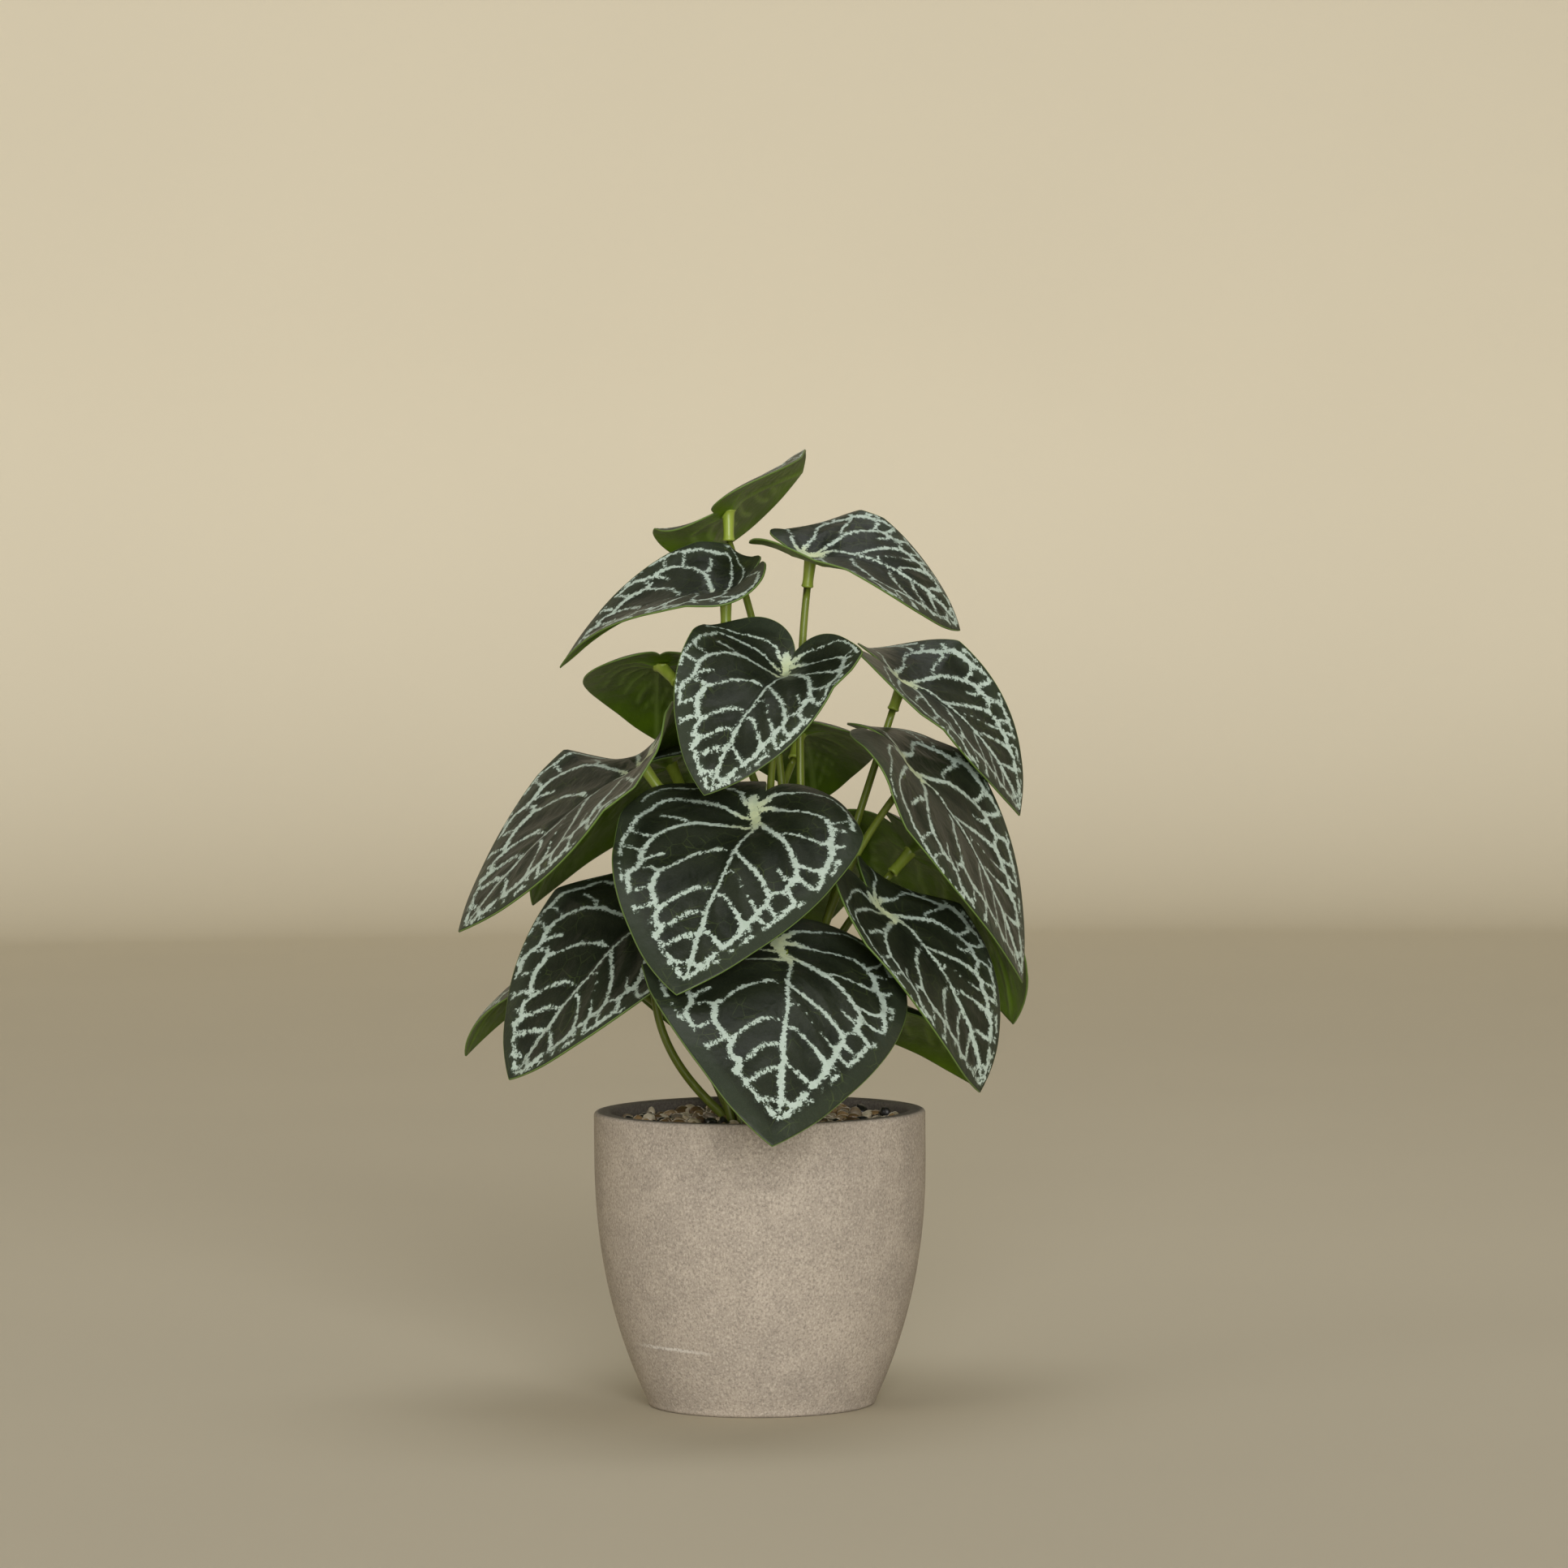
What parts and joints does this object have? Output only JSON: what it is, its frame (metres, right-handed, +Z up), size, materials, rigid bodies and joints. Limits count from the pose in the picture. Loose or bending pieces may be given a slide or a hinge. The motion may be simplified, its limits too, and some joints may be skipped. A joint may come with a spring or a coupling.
{
  "type": "potted silver-veined anthurium",
  "caption": "Artificial house plant with silver-veined heart-shaped leaves on thin stalks, standing in gravel in a round tapered concrete-look pot.",
  "frame": {"origin": "centre of the pot's foot, on the surface it stands on", "axes": "+Z up along the pot's axis, -Y towards the viewer of the picture, +X to that viewer's right"},
  "size_m": [0.2369, 0.2745, 0.3921],
  "materials": {
    "concrete": "matte, mottled warm grey",
    "filler": "dark foam plug",
    "gravel": "brown, tan and black stones under clear glue",
    "leaf": "dark green with a printed silvery vein net, plain green underneath",
    "stalk": "olive green, with a yellow-green sleeve under the blade"
  },
  "bodies": {
    "root": {"pot": "concrete", "filler": "filler", "gravel": "gravel", "leaf_01_blade": "leaf", "leaf_01_stalk": "stalk", "leaf_02_blade": "leaf", "leaf_02_stalk": "stalk", "leaf_03_blade": "leaf", "leaf_03_stalk": "stalk", "leaf_04_blade": "leaf", "leaf_04_stalk": "stalk", "leaf_05_blade": "leaf", "leaf_05_stalk": "stalk", "leaf_06_blade": "leaf", "leaf_06_stalk": "stalk", "leaf_07_blade": "leaf", "leaf_07_stalk": "stalk", "leaf_08_blade": "leaf", "leaf_08_stalk": "stalk", "leaf_09_blade": "leaf", "leaf_09_stalk": "stalk", "leaf_10_blade": "leaf", "leaf_10_stalk": "stalk", "leaf_11_blade": "leaf", "leaf_11_stalk": "stalk", "leaf_12_blade": "leaf", "leaf_12_stalk": "stalk", "leaf_13_blade": "leaf", "leaf_13_stalk": "stalk", "leaf_14_blade": "leaf", "leaf_14_stalk": "stalk", "leaf_15_blade": "leaf", "leaf_15_stalk": "stalk", "leaf_16_blade": "leaf", "leaf_16_stalk": "stalk", "leaf_17_blade": "leaf", "leaf_17_stalk": "stalk", "leaf_18_blade": "leaf", "leaf_18_stalk": "stalk", "leaf_19_blade": "leaf", "leaf_19_stalk": "stalk", "leaf_20_blade": "leaf", "leaf_20_stalk": "stalk"}
  },
  "joints": []
}
